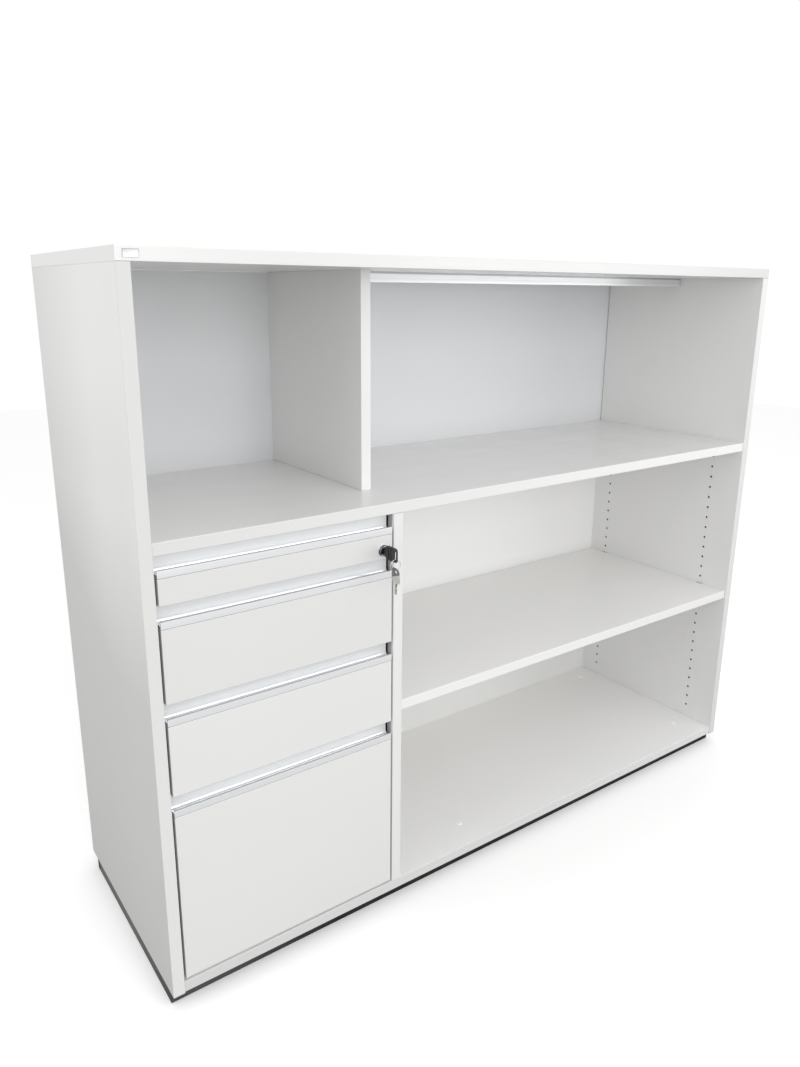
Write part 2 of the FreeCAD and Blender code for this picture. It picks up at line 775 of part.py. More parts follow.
# Lock in the top front: housing with rosette, turning core with an off-centre driver pin,
# sliding bolt and the case that guides it
def make_lock_housing():
    rosette = rod((lock_x, face - rosette_thickness, lock_z), (0, 1, 0), rosette_radius, rosette_thickness)
    rosette = round_edges(rosette, rosette_round, lambda p: p.y < face - rosette_thickness + rosette_round)
    barrel = rod((lock_x, face, lock_z), (0, 1, 0), barrel_radius, board)
    bore = rod((lock_x, face - rosette_thickness, lock_z), (0, 1, 0), core_radius + running_clearance,
               rosette_thickness + board)
    return rosette.fuse(barrel).removeSplitter().cut(bore)


core_front = face - rosette_thickness - core_proud
core_back = face_back + core_tail
driver_offset = driver_throw / 2


def make_lock_core():
    core = rod((lock_x, core_front, lock_z), (0, 1, 0), core_radius, core_back - core_front)
    keyway = block(lock_x - keyway_half_width, lock_x + keyway_half_width,
                   core_front, face + blade_in_core + lock_play,
                   lock_z - keyway_half_height, lock_z + keyway_half_height)
    driver_start = (lock_x - driver_offset, core_back, lock_z + driver_offset)
    driver = rod(driver_start, (0, 1, 0), driver_radius, driver_length)
    return core.cut(keyway).fuse(driver).removeSplitter()


def make_lock_bolt():
    """Flat bolt moved sideways by the driver pin; its chamfered tip lifts the locking bar."""
    driver_x = lock_x - driver_offset
    plate_left = driver_x - bolt_plate_half
    plate_right = driver_x + bolt_plate_half
    plate_top = lock_z + bolt_plate_high
    chamfer = tongue_high - tongue_low
    outline = [(plate_left, tongue_low), (bolt_tip, tongue_low), (bolt_tip - chamfer, tongue_high),
               (plate_right, tongue_high), (plate_right, plate_top), (plate_left, plate_top)]
    bolt = plate(outline, "y", bolt_front, bolt_thickness)
    half = driver_radius + driver_play
    highest = lock_z + driver_offset * math.sqrt(2) + half
    lowest = lock_z + driver_offset - half
    slot = block(driver_x - half, driver_x + half, bolt_front, bolt_back, lowest, highest)
    return bolt.cut(slot)


def make_lock_case():
    """Cover inside the top drawer that guides the bolt."""
    y0 = face_back + box_sheet
    x1 = box_right - box_sheet
    low = tongue_low - lock_play
    high = lock_z + bolt_plate_high + lock_play
    case = block(lock_x - case_left, x1, y0, y0 + case_depth, low - case_wall, high + case_wall)
    cavity = block(lock_x - case_left + case_wall, x1, y0, y0 + case_depth - case_wall, low, high)
    core_room = rod((lock_x, y0, lock_z), (0, 1, 0), core_radius + lock_play, core_tail)
    return case.cut(cavity).cut(core_room)


# Locking bar: a flat bar in the divider's groove, with one tab per drawer and a sloped lug
# over the bolt's tip
def make_locking_bar():
    x0 = drawer_right + bar_recess
    low = drawers[-1].tab_high - tab_height - bar_tail
    bar = block(x0, x0 + bar_thickness, bar_front, bar_front + bar_width, low, drawers[0].tab_high + bar_head)
    tab_front = bar_front + tab_from_bar_front
    for drawer in drawers:
        bar = bar.fuse(block(drawer_right - tab_reach, x0, tab_front, tab_front + tab_width,
                             drawer.tab_high - tab_height, drawer.tab_high))
    lug_left = drawer_right - lug_reach
    slope = tongue_low + bolt_tip + lock_play * math.sqrt(2)
    lug_top = drawers[0].tab_high
    lug_front = bar_front + lock_play
    outline = [(lug_left, slope - lug_left), (x0, slope - x0), (x0, lug_top), (lug_left, lug_top)]
    return bar.fuse(plate(outline, "y", lug_front, tab_from_bar_front - lock_play)).removeSplitter()


def make_bar_guide(drawer):
    """Flat bridge across the groove, fixed to the divider."""
    high = drawer.tab_high - tab_height - guide_drop
    return block(drawer_right - guide_thickness, drawer_right, bar_front - guide_overlap,
                 bar_front + bar_width + guide_overlap, high - guide_height, high)


save("lock_housing", make_lock_housing())
save("lock_core", make_lock_core())
save("lock_bolt", make_lock_bolt())
save("lock_case", make_lock_case())
save("locking_bar", make_locking_bar())
save("locking_bar_guides", [make_bar_guide(drawer) for drawer in drawers[1:]])


# Folding key in the lock: steel blade, moulded neck, a head that folds about an upright pin,
# and the ring that hangs in the head's slot
fold_y = face - key_fold
key_half = key_thickness / 2
key_end_y = face - key_end
ring_slot_y = key_end_y + ring_slot_from_end
ring_y = ring_slot_y + ring_slot_width / 2
ring_z = lock_z - (ring_slot_half + key_half_height) / 2


def key_outline(points, thickness):
    """Flat key piece upright through the lock axis, from distances to the front and heights."""
    return plate([(face - y, lock_z + z) for y, z in points], "x", lock_x - thickness / 2, thickness)


def knuckle(z0, z1, radius):
    return rod((lock_x, fold_y, lock_z + z0), (0, 0, 1), radius, z1 - z0)


def make_key_blade():
    return block(lock_x - blade_half_width, lock_x + blade_half_width,
                 face - blade_in_neck, face + blade_in_core,
                 lock_z - blade_half_height, lock_z + blade_half_height)


def make_key_neck():
    neck_end = key_fold - key_half - knuckle_gap
    upper = [(neck_start, neck_half_height), (neck_shoulder, key_half_height), (neck_end, key_half_height)]
    lower = [(y, -z) for y, z in reversed(upper)]
    neck = key_outline(upper + lower, key_thickness)
    bridge = block(lock_x - key_half, lock_x + key_half, fold_y, face - neck_end, lock_z - knuckle_half,
                   lock_z + knuckle_half)
    neck = neck.fuse(bridge).fuse(knuckle(-knuckle_half, knuckle_half, key_half)).removeSplitter()
    pin_hole = knuckle(-knuckle_half, knuckle_half, hinge_pin_radius + running_clearance)
    return neck.cut(pin_hole).cut(make_key_blade())


def make_key_head():
    """Thin folding head with a slot for the key ring near its end."""
    start = key_fold + key_half + knuckle_gap
    half = head_thickness / 2
    head = key_outline([(start, -key_half_height), (key_end, -key_half_height), (key_end, key_half_height),
                        (start, key_half_height)], head_thickness)
    corners = [e for e in head.Edges
               if all(abs(v.Point.y - key_end_y) < edge_round for v in e.Vertexes)
               and abs(e.Vertexes[0].Point.x - e.Vertexes[1].Point.x) > edge_round]
    head = head.makeFillet(key_corner, corners)
    slot = block(lock_x - half, lock_x + half, ring_slot_y, ring_slot_y + ring_slot_width,
                 lock_z - ring_slot_half, lock_z + ring_slot_half)
    head = head.cut(slot)
    inner = knuckle_half + knuckle_gap
    for z0, z1 in ((inner, knuckle_reach), (-knuckle_reach, -inner)):
        bridge = block(lock_x - half, lock_x + half, face - start, fold_y, lock_z + z0, lock_z + z1)
        head = head.fuse(bridge).fuse(knuckle(z0, z1, key_half))
    return head.fuse(knuckle(-knuckle_reach, knuckle_reach, hinge_pin_radius)).removeSplitter()


def make_key_ring():
    """Wire ring round the head's lower bar, below the slot."""
    middle = FreeCAD.Vector(lock_x, ring_y, ring_z)
    return Part.makeTorus(ring_radius, ring_wire, middle, FreeCAD.Vector(0, 1, 0))


save("key_blade", make_key_blade())
save("key_neck", make_key_neck())
save("key_head", make_key_head())
save("key_ring", make_key_ring())
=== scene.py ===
import bmesh
import bpy
import math
from mathutils import Euler, Matrix, Vector


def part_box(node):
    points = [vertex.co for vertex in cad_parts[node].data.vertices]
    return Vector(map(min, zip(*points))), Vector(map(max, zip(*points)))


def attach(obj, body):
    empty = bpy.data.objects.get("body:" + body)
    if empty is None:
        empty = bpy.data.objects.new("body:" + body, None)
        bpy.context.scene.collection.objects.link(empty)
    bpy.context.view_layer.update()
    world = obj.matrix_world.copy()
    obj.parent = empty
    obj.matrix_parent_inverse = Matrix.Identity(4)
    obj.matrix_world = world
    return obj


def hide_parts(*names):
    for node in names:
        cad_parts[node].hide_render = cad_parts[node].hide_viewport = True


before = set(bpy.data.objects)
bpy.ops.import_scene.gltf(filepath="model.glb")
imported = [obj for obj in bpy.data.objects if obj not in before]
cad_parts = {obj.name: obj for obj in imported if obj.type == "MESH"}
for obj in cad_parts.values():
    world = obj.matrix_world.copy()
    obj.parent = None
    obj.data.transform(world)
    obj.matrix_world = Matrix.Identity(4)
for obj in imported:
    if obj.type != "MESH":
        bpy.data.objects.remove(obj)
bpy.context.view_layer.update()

# Carcass boards
# The top, the sides, the bottom, the fixed shelf and the dividers are chipboard faced with white melamine
# paper, pressed with a fine pearl texture. A plastic band closes their front edges, and dowels join them.
plain_whites = (0.864, 0.861, 0.851, 1), (0.848, 0.847, 0.840, 1)
# The sides and the bottom get lighter copies of the same white: painted light.
painted_light_side_whites = (0.893, 0.890, 0.880, 1), (0.878, 0.876, 0.869, 1)
painted_light_bottom_whites = (0.955, 0.951, 0.938, 1), (0.940, 0.936, 0.926, 1)
# The left side is painted darker towards its foot and its rear: painted shade.
painted_shade_foot_white = (0.690, 0.687, 0.679, 1)
foot_shade_fade = (0.52, 0.80)
rear_shade_fade, rear_shade_share = (-0.05, 0.217), 0.65
band_white = Vector((1.0, 0.997, 0.987))
# Each listed board's band runs from one tone to another along it: painted light and shade.
band_light_tones = {"left_side_panel": (0.840, 0.720), "right_side_panel": (0.770, 0.870),
              "bottom_panel": (0.735, 0.830), "middle_shelf": (0.775, 0.965), "top_panel": (0.850, 0.775)}
band_thickness = 0.001
seam_grey = (0.45, 0.44, 0.42, 1)
seam_width, seam_share = 0.00012, 0.25
joint_width, joint_share = 0.0013, 0.6
# Painted shade on the lower divider's face beside the drawers: grey, then nearly black further in as painted
# shadow.
painted_shade_grey = (0.40, 0.40, 0.395, 1)
painted_shadow_black = (0.045, 0.045, 0.047, 1)
shade_start, deep_shadow_start = 0.005, 0.0175
# Raw chipboard core, painted far darker than chipboard is, as the shade in holes and gaps.
core_and_hole_shade_light = (0.036, 0.026, 0.018, 1)
core_and_hole_shade_dark = (0.016, 0.012, 0.008, 1)
chip_scale = 700
facing_depth = 0.0003
board_gloss, rubbed_gloss = (0.19, 0.25), (0.38, 0.46)
pearl_scale, pearl_depth, pearl_strength = 900, 0.00004, 0.3
drift_scale, wipe_stretch = 2.3, (9.0, 14.0, 4.0)


def node(tree, kind, inputs=None, **settings):
    """New node with its settings; each input is a constant or another node's output."""
    made = tree.nodes.new(kind)
    for name, value in settings.items():
        setattr(made, name, value)
    for name, value in (inputs or {}).items():
        if isinstance(value, bpy.types.NodeSocket):
            tree.links.new(value, made.inputs[name])
        else:
            made.inputs[name].default_value = value
    return made


def effect(name, inputs, outputs):
    """New shader node group: its tree, its input node and its output node."""
    tree = bpy.data.node_groups.new(name, "ShaderNodeTree")
    for direction, sockets in (("INPUT", inputs), ("OUTPUT", outputs)):
        for label, kind in sockets.items():
            tree.interface.new_socket(label, in_out=direction, socket_type="NodeSocket" + kind)
    return tree, tree.nodes.new("NodeGroupInput").outputs, tree.nodes.new("NodeGroupOutput").inputs


def noise(tree, place, scale, detail):
    """Value of a noise texture with features of about one over scale, in metres."""
    return node(tree, "ShaderNodeTexNoise", {"Vector": place, "Scale": scale, "Detail": detail}).outputs[0]


def stretched(tree, place, scale):
    """Coordinates stretched by an own factor along each axis."""
    return node(tree, "ShaderNodeMapping", {"Vector": place, "Scale": scale}).outputs[0]


def between(tree, value, low, high, start=0.3, end=0.7):
    """Value brought from start and end to low and high."""
    return node(tree, "ShaderNodeMapRange", {"Value": value, "From Min": start, "From Max": end,
                                             "To Min": low, "To Max": high}).outputs[0]


def mixed(tree, share, first, second):
    """Colour between two others."""
    made = node(tree, "ShaderNodeMix", {"Factor": share}, data_type="RGBA")
    for socket, value in ((made.inputs[6], first), (made.inputs[7], second)):
        if isinstance(value, bpy.types.NodeSocket):
            tree.links.new(value, socket)
        else:
            socket.default_value = value
    return made.outputs[2]


def finish(name, **values):
    """New material: itself, its tree, its shader's inputs and the coordinates of the shared frame."""
    made = bpy.data.materials.new(name)
    made.use_nodes = True
    tree = made.node_tree
    shader = tree.nodes["Principled BSDF"].inputs
    for label, value in values.items():
        shader[label.replace("_", " ").title().replace("Ior", "IOR")].default_value = value
    return made, tree, shader, node(tree, "ShaderNodeTexCoord").outputs["Object"]


def bumped(tree, shader, height, depth, strength=1.0):
    """Relief of that depth in metres on the shader."""
    bump = node(tree, "ShaderNodeBump", {"Height": height, "Distance": depth, "Strength": strength})
    tree.links.new(bump.outputs[0], shader["Normal"])


def dress(material, *names):
    """Gives CAD nodes their material."""
    for name in names:
        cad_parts[name].material_slots[0].material = material


drift, given, wanted = effect("slow_drift", {"Place": "Vector"}, {"Tone": "Float", "Wipe": "Float"})
drift.links.new(noise(drift, given["Place"], drift_scale, 3.0), wanted["Tone"])
wipe_marks = noise(drift, stretched(drift, given["Place"], wipe_stretch), 1.0, 4.0)
drift.links.new(wipe_marks, wanted["Wipe"])


def drifting(tree, place):
    """Slow change of tone over a surface, and the marks of wiping."""
    made = node(tree, "ShaderNodeGroup", node_tree=drift)
    tree.links.new(place, made.inputs["Place"])
    return made.outputs["Tone"], made.outputs["Wipe"]


def axes_of(tree, vector):
    """The three parts of a vector."""
    return node(tree, "ShaderNodeSeparateXYZ", {"Vector": vector}).outputs


def worked(tree, operation, *values):
    """Result of one sum of arithmetic on values."""
    return node(tree, "ShaderNodeMath", dict(enumerate(values)), operation=operation).outputs[0]


def least_part(tree, vector):
    """Smallest of a vector's three parts."""
    parts = axes_of(tree, vector)
    return worked(tree, "MINIMUM", worked(tree, "MINIMUM", parts["X"], parts["Y"]), parts["Z"])


cut, given, wanted = effect("cut_core", dict.fromkeys(("Place", "Middle", "Half", "Butt"), "Vector"),
                            dict.fromkeys(("Core", "Seam", "Band", "Joint"), "Float"))
off_middle = node(cut, "ShaderNodeVectorMath", {0: given["Place"], 1: given["Middle"]}, operation="SUBTRACT")
away = node(cut, "ShaderNodeVectorMath", {0: off_middle.outputs[0]}, operation="ABSOLUTE").outputs[0]
inside = node(cut, "ShaderNodeVectorMath", {0: given["Half"], 1: away}, operation="SUBTRACT").outputs[0]
cut.links.new(worked(cut, "GREATER_THAN", least_part(cut, inside), facing_depth), wanted["Core"])
to_butt = node(cut, "ShaderNodeVectorMath", {0: inside, 1: given["Butt"]}, operation="ADD").outputs[0]
cut.links.new(between(cut, least_part(cut, to_butt), joint_share, 0, 0, joint_width), wanted["Joint"])
from_front = worked(cut, "ADD", axes_of(cut, off_middle.outputs[0])["Y"], axes_of(cut, given["Half"])["Y"])
cut.links.new(worked(cut, "LESS_THAN", from_front, band_thickness), wanted["Band"])
off_seam = worked(cut, "ABSOLUTE", worked(cut, "SUBTRACT", from_front, band_thickness))
cut.links.new(between(cut, off_seam, 1, 0, 0, seam_width), wanted["Seam"])


def melamine(board, butted="", whites=plain_whites, shaded_foot=None, shaded_face=None, gloss=board_gloss):
    """White pearl melamine on one board, raw chipboard where it is cut or drilled, with a fine seam behind
    its band and a line along the ends that are butted against other boards. The raw core is painted far
    darker than chipboard, as the shade in holes and gaps. The band may go from one tone to another, from its
    foot or left end to the other, as painted light and shade, and the board may be painted darker at its foot
    and rear, as shade. A face at the given x, beside the drawers, has painted shade below the fixed shelf:
    grey behind a white front strip, then nearly black further in, as painted shadow."""
    made, tree, shader, place = finish("melamine_" + board)
    low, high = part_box(board)
    core = node(tree, "ShaderNodeGroup", node_tree=cut)
    tree.links.new(place, core.inputs["Place"])
    core.inputs["Middle"].default_value = (low + high) / 2
    core.inputs["Half"].default_value = (high - low) / 2
    core.inputs["Butt"].default_value = [0 if axis in butted else 1 for axis in "XYZ"]
    tone, wipe = drifting(tree, place)
    white = mixed(tree, between(tree, tone, 0, 1), *whites)
    # Painted shade: the white darkens towards the foot and the rear.
    if shaded_foot:
        foot_shade = between(tree, axes_of(tree, place)["Z"], 1, 0, *foot_shade_fade)
        rear_shade = between(tree, axes_of(tree, place)["Y"], 0, rear_shade_share, *rear_shade_fade)
        white = mixed(tree, worked(tree, "ADD", foot_shade, rear_shade), white, shaded_foot)
    # Painted light and shade along the band.
    if board in band_light_tones:
        run = "XYZ".index(butted or "X")
        along = between(tree, axes_of(tree, place)[run], 0, 1, low[run], high[run])
        banded = mixed(tree, along, *[(*(level * band_white), 1) for level in band_light_tones[board]])
        white = mixed(tree, core.outputs["Band"], white, banded)
    lines = worked(tree, "MAXIMUM", worked(tree, "MULTIPLY", core.outputs["Seam"], seam_share),
                   core.outputs["Joint"])
    faced = mixed(tree, lines, white, seam_grey)
    # Painted shade in the drawer bay: grey behind the front strip, then nearly black as painted shadow.
    if shaded_face is not None:
        off_shaded_face = worked(tree, "ABSOLUTE", worked(tree, "SUBTRACT", axes_of(tree, place)["X"], shaded_face))
        on_shaded_face = worked(tree, "LESS_THAN", off_shaded_face, facing_depth / 2)
        below_shelf = worked(tree, "LESS_THAN", axes_of(tree, place)["Z"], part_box("middle_shelf")[0].z)
        behind = worked(tree, "SUBTRACT", axes_of(tree, place)["Y"], low.y)
        past_edge = worked(tree, "GREATER_THAN", behind, shade_start)
        deeper_in = between(tree, behind, 0, 1, deep_shadow_start - band_thickness, deep_shadow_start)
        painted_shade = mixed(tree, deeper_in, painted_shade_grey, painted_shadow_black)
        shaded = worked(tree, "MULTIPLY", worked(tree, "MULTIPLY", on_shaded_face, below_shelf), past_edge)
        faced = mixed(tree, shaded, faced, painted_shade)
    # Raw core, painted near black as the shade in holes and gaps.
    core_and_hole_shade = mixed(tree, noise(tree, place, chip_scale, 3.0), core_and_hole_shade_light, core_and_hole_shade_dark)
    tree.links.new(mixed(tree, core.outputs["Core"], faced, core_and_hole_shade), shader["Base Color"])
    tree.links.new(between(tree, wipe, *gloss), shader["Roughness"])
    bumped(tree, shader, noise(tree, place, pearl_scale, 2.0), pearl_depth, pearl_strength)
    dress(made, board)


melamine("left_side_panel", "Z", painted_light_side_whites, painted_shade_foot_white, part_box("left_side_panel")[1].x, rubbed_gloss)
melamine("right_side_panel", "Z", painted_light_side_whites)
melamine("bottom_panel", "X", painted_light_bottom_whites)
melamine("lower_divider", "Z", shaded_face=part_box("lower_divider")[0].x)
melamine("middle_shelf", "X")
melamine("upper_divider", "Z")
melamine("top_panel")

# Dowels
# Fluted beech dowels are glued into the boards' edges and can't be seen once the carcass is together.
beech_light = (0.62, 0.43, 0.25, 1)
beech_dark = (0.48, 0.31, 0.17, 1)
fibre_stretch = (60, 900, 900)
beech, tree, shader, place = finish("beech", roughness=0.6)
fibres = noise(tree, stretched(tree, place, fibre_stretch), 1.0, 3.0)
tree.links.new(mixed(tree, fibres, beech_light, beech_dark), shader["Base Color"])
dress(beech, "carcass_dowels")

# Back panels
# Two thin boards lacquered white close the back. They sit in rebates of the sides and are screwed on, and
# their join lies behind the fixed shelf.
upper_lacquer = (0.800, 0.808, 0.822, 1)
lower_lacquer = (0.955, 0.953, 0.943, 1)
# The lower board's face is painted darker towards its foot: painted shade.
lower_shaded_foot = (0.830, 0.828, 0.816, 1)
lower_shade_fade = (0.36, 0.44)
rear_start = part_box("lower_back_panel")[0].y + facing_depth
lacquer_drift, lacquer_gloss = 0.025, (0.42, 0.52)
roll_scale, roll_depth = 650, 0.00003


def lacquered_board(name, colour, shaded_foot=None):
    """Smooth lacquer with a slightly uneven tone, rolled on, so its fine relief has no direction. The face in
    use has a tone of its own, and may be painted darker towards its foot, as shade."""
    made, tree, shader, place = finish(name)
    tone, wipe = drifting(tree, place)
    along = axes_of(tree, place)
    if shaded_foot:
        colour = mixed(tree, between(tree, along["Z"], 0, 1, *lower_shade_fade), shaded_foot, colour)
    colour = mixed(tree, worked(tree, "GREATER_THAN", along["Y"], rear_start), colour, lower_lacquer)
    darker = mixed(tree, lacquer_drift, colour, (0, 0, 0, 1))
    tree.links.new(mixed(tree, between(tree, tone, 0, 1), colour, darker), shader["Base Color"])
    tree.links.new(between(tree, wipe, *lacquer_gloss), shader["Roughness"])
    bumped(tree, shader, noise(tree, place, roll_scale, 1.0), roll_depth, 0.3)
    return made


dress(lacquered_board("lacquer_upper_back", upper_lacquer), "upper_back_panel")
dress(lacquered_board("lacquer_lower_back", lower_lacquer, lower_shaded_foot), "lower_back_panel")

# Screws of the back, the rail and the drawer fronts
# Zinc-plated steel, turned on the thread and pressed on the head. They are driven in through the back panels,
# the rail's flange and the fronts of the drawer boxes.
zinc_light = (0.66, 0.67, 0.68, 1)
zinc_dark = (0.50, 0.51, 0.53, 1)
zinc_gloss, cloud_scale = (0.28, 0.42), 120
line_depth = 0.00002


def zinc(name, stretch):
    """Zinc-plated steel with a clouded plating and fine lines along the way it was drawn or rolled."""
    made, tree, shader, place = finish(name, metallic=1.0)
    clouds = noise(tree, place, cloud_scale, 3.0)
    lines = noise(tree, stretched(tree, place, stretch), 1.0, 2.0)
    tree.links.new(mixed(tree, between(tree, clouds, 0, 1), zinc_light, zinc_dark), shader["Base Color"])
    tree.links.new(between(tree, clouds, *zinc_gloss), shader["Roughness"])
    bumped(tree, shader, lines, line_depth, 0.4)
    return made


screw_zinc = zinc("zinc_screws", (900, 900, 900))
dress(screw_zinc, "back_panel_screws", "stiffener_rail_screws",
      *("drawer_%d_front_screws" % number for number in range(1, 5)))

# Plinth
# Four dark grey boards on edge, painted, stand back from the carcass all round and lift it a little off the
# floor.
# Each plinth board is graded between its grey and a painted shadow black. The left one also runs towards a
# painted lighter grey: painted light and shade.
plinth_painted_shadow = (0.014, 0.014, 0.016, 1)
plinth_grey = (0.080, 0.080, 0.080, 1)
plinth_painted_light = (0.165, 0.163, 0.158, 1)
plinth_gloss = (0.48, 0.62)
paint_scale, paint_depth = 800, 0.00005
scuff_stretch, scuff_range, scuff_share = (25, 25, 260), (0.45, 0.8), 0.03


def graphite(side, first, second, axis, start, end):
    """Dark grey paint on one plinth board, scuffed, and graded along an axis from one tone to another, as
    painted light and shade.
    """
    board = "plinth_%s_board" % side
    made, tree, shader, place = finish("graphite_" + board, specular_ior_level=0.3)
    wipe = drifting(tree, place)[1]
    painted = mixed(tree, between(tree, axes_of(tree, place)[axis], 0, 1, start, end), first, second)
    scuffs = noise(tree, stretched(tree, place, scuff_stretch), 1.0, 5.0)
    scuffed = mixed(tree, between(tree, scuffs, 0, scuff_share, *scuff_range), painted, (1, 1, 1, 1))
    tree.links.new(scuffed, shader["Base Color"])
    tree.links.new(between(tree, wipe, *plinth_gloss), shader["Roughness"])
    bumped(tree, shader, noise(tree, place, paint_scale, 2.0), paint_depth, 0.4)
    dress(made, board)


graphite("front", plinth_grey, plinth_painted_shadow, "X", -0.62, -0.40)
graphite("left", plinth_grey, plinth_painted_light, "Y", -0.20, 0.0)
graphite("right", plinth_painted_shadow, plinth_grey, "Y", -0.20, 0.20)
graphite("rear", plinth_grey, plinth_painted_shadow, "X", -0.40, 0.40)

# Levelling feet
# Six plastic feet screw into sockets under the bottom board, and are turned from above through holes that
# push-in caps close.
plastic_lift, flow_stretch = 1.12, (12, 12, 12)
grain_scale, grain_depth = 2200, 0.00004


def moulded(name, colour, low, high):
    """Moulded plastic with a fine eroded texture, its gloss between the two roughness values."""
    made, tree, shader, place = finish(name)
    tone, wipe = drifting(tree, stretched(tree, place, flow_stretch))
    lighter = [min(1, plastic_lift * c) for c in colour[:3]] + [1]
    tree.links.new(mixed(tree, between(tree, tone, 0, 1), colour, lighter), shader["Base Color"])
    tree.links.new(between(tree, wipe, low, high), shader["Roughness"])
    bumped(tree, shader, noise(tree, place, grain_scale, 2.0), grain_depth, 0.35)
    return made


dress(moulded("foot_black", (0.025, 0.025, 0.026, 1), 0.45, 0.6), "leveller_feet")
dress(zinc("zinc_sockets", (700, 700, 60)), "leveller_sockets")
dress(moulded("cap_white", (0.97, 0.97, 0.955, 1), 0.3, 0.4), "leveller_caps")

# Adjustable shelf and its supports
# A loose board like the others rests on four pins, each with a dark collar, pushed into the rows of holes.
# The adjustable shelf gets a lighter copy of the same white: painted light.
painted_light_shelf_whites = (0.925, 0.920, 0.906, 1), (0.905, 0.902, 0.892, 1)
melamine("adjustable_shelf", whites=painted_light_shelf_whites)
dress(moulded("support_dark", (0.05, 0.05, 0.052, 1), 0.4, 0.55), "shelf_supports")

# Stiffener rail
# A folded aluminium rail, anodised, is screwed under the top where it spans the open bay. Its face has
# painted shade: a fine dark line as a groove's shade, a painted shadow line under the top, and the face a
# little darker than its lower lip, which is painted as lit.
silver_light = (0.945, 0.957, 0.968, 1)
silver_dark = (0.905, 0.917, 0.930, 1)
# Grey for dark joints and for painted shade on the aluminium.
joint_and_shade_grey = (0.30, 0.305, 0.315, 1)
rail_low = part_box("stiffener_rail")[0]
rolled_stretch = (8, 1600, 1600)
# Painted shade on the rail: a shadow line under the top, a dark line as a groove's shade, and the face darker
# than its lit lip.
shadow_line, shadow_share = 0.0148, 0.75
groove_shade_line, groove_shade_half, groove_shade_share = 0.0066, 0.0006, 0.25
face_shade_line, face_shade_share = 0.0030, 0.12


def anodised(name, stretch, edges=None, metal=0.3, rough=(0.32, 0.42)):
    """Satin anodised aluminium with the fine lines of its extrusion or rolling. edges, a function of the tree
    and the place, gives the mask of the dark lines along its edges: painted shade, and dark joints."""
    made, tree, shader, place = finish(name, metallic=metal)
    lines = noise(tree, stretched(tree, place, stretch), 1.0, 3.0)
    silver = mixed(tree, between(tree, lines, 0, 1), silver_light, silver_dark)
    if edges:
        silver = mixed(tree, edges(tree, place), silver, joint_and_shade_grey)
    tree.links.new(silver, shader["Base Color"])
    tree.links.new(between(tree, lines, *rough), shader["Roughness"])
    bumped(tree, shader, lines, line_depth, 0.35)
    return made


def rail_lines(tree, place):
    """Mask of the rail's painted shade: a shadow line under the top, a dark line as a groove's shade, and the
    face above its lit lower lip.
    """
    above = worked(tree, "SUBTRACT", axes_of(tree, place)["Z"], rail_low.z)
    shadow = worked(tree, "MULTIPLY", worked(tree, "GREATER_THAN", above, shadow_line), shadow_share)
    groove_shade = worked(tree, "MULTIPLY", worked(tree, "COMPARE", above, groove_shade_line, groove_shade_half), groove_shade_share)
    face_shade = worked(tree, "MULTIPLY", worked(tree, "GREATER_THAN", above, face_shade_line), face_shade_share)
    return worked(tree, "MAXIMUM", worked(tree, "MAXIMUM", shadow, groove_shade), face_shade)


dress(anodised("aluminium_rail", rolled_stretch, rail_lines, metal=0.55), "stiffener_rail")

# Name plate
# A small bare aluminium plate sits on the front edge of the top, near its left end. It is pressed from sheet,
# with a fine raised rim round a flat field. The shapes of this and the later new pieces are in millimetres.
rim_width, rim_height, plate_corner = 0.55, 0.35, 0.9
millimetre = 0.001
hair = 0.001


def softened(shape, edges, width, segments):
    """Rounds edges of a shape."""
    bmesh.ops.bevel(shape, geom=edges, offset=width, offset_type="OFFSET", segments=segments, profile=0.5,
                    affect="EDGES", clamp_overlap=True, material=-1)


def sharp_edges(shape, least):
    """Edges where two faces meet at more than the least angle, in degrees."""
    shape.normal_update()
    return [e for e in shape.edges if e.is_manifold and e.calc_face_angle() > math.radians(least)]


def piece(name, shape, place, material, body, slot, *stands_for):
    """Finished piece from a shape in millimetres, set at its place and carried by a body."""
    bmesh.ops.recalc_face_normals(shape, faces=shape.faces)
    bmesh.ops.scale(shape, vec=(millimetre,) * 3, verts=shape.verts)
    bmesh.ops.translate(shape, vec=place, verts=shape.verts)
    mesh = bpy.data.meshes.new(name)
    shape.to_mesh(mesh)
    shape.free()
    mesh.materials.append(material)
    mesh.shade_smooth()
    mesh.set_sharp_from_angle(angle=math.radians(35))
    made = bpy.data.objects.new(name, mesh)
    bpy.context.scene.collection.objects.link(made)
    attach(made, body)
    if stands_for:
        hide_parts(*stands_for)
    return made


plate_low, plate_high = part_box("bare_name_plate")
plate_size = (plate_high - plate_low) / millimetre


def plate_rim_shade(tree, place):
    """Mask of the plate's rim, painted dark as shade."""
    off_middle = node(tree, "ShaderNodeVectorMath", {0: place, 1: (plate_low + plate_high) / 2},
                      operation="SUBTRACT").outputs[0]
    away = node(tree, "ShaderNodeVectorMath", {0: off_middle}, operation="ABSOLUTE").outputs[0]
    side, edge = [millimetre * (size / 2 - rim_width) for size in (plate_size.x, plate_size.z)]
    past_side = worked(tree, "GREATER_THAN", axes_of(tree, away)["X"], side)
    past_edge = worked(tree, "GREATER_THAN", axes_of(tree, away)["Z"], edge)
    return worked(tree, "MAXIMUM", past_side, past_edge)


shape = bmesh.new()
bmesh.ops.create_cube(shape, size=1)
bmesh.ops.scale(shape, vec=plate_size, verts=shape.verts)
softened(shape, [e for e in shape.edges if abs(e.verts[0].co.y - e.verts[1].co.y) > hair], plate_corner, 4)
field = min(shape.faces, key=lambda f: f.calc_center_median().y)
bmesh.ops.inset_region(shape, faces=[field], thickness=rim_width)
bmesh.ops.translate(shape, vec=(0, rim_height, 0), verts=field.verts)
softened(shape, sharp_edges(shape, 40), rim_height / 4, 2)
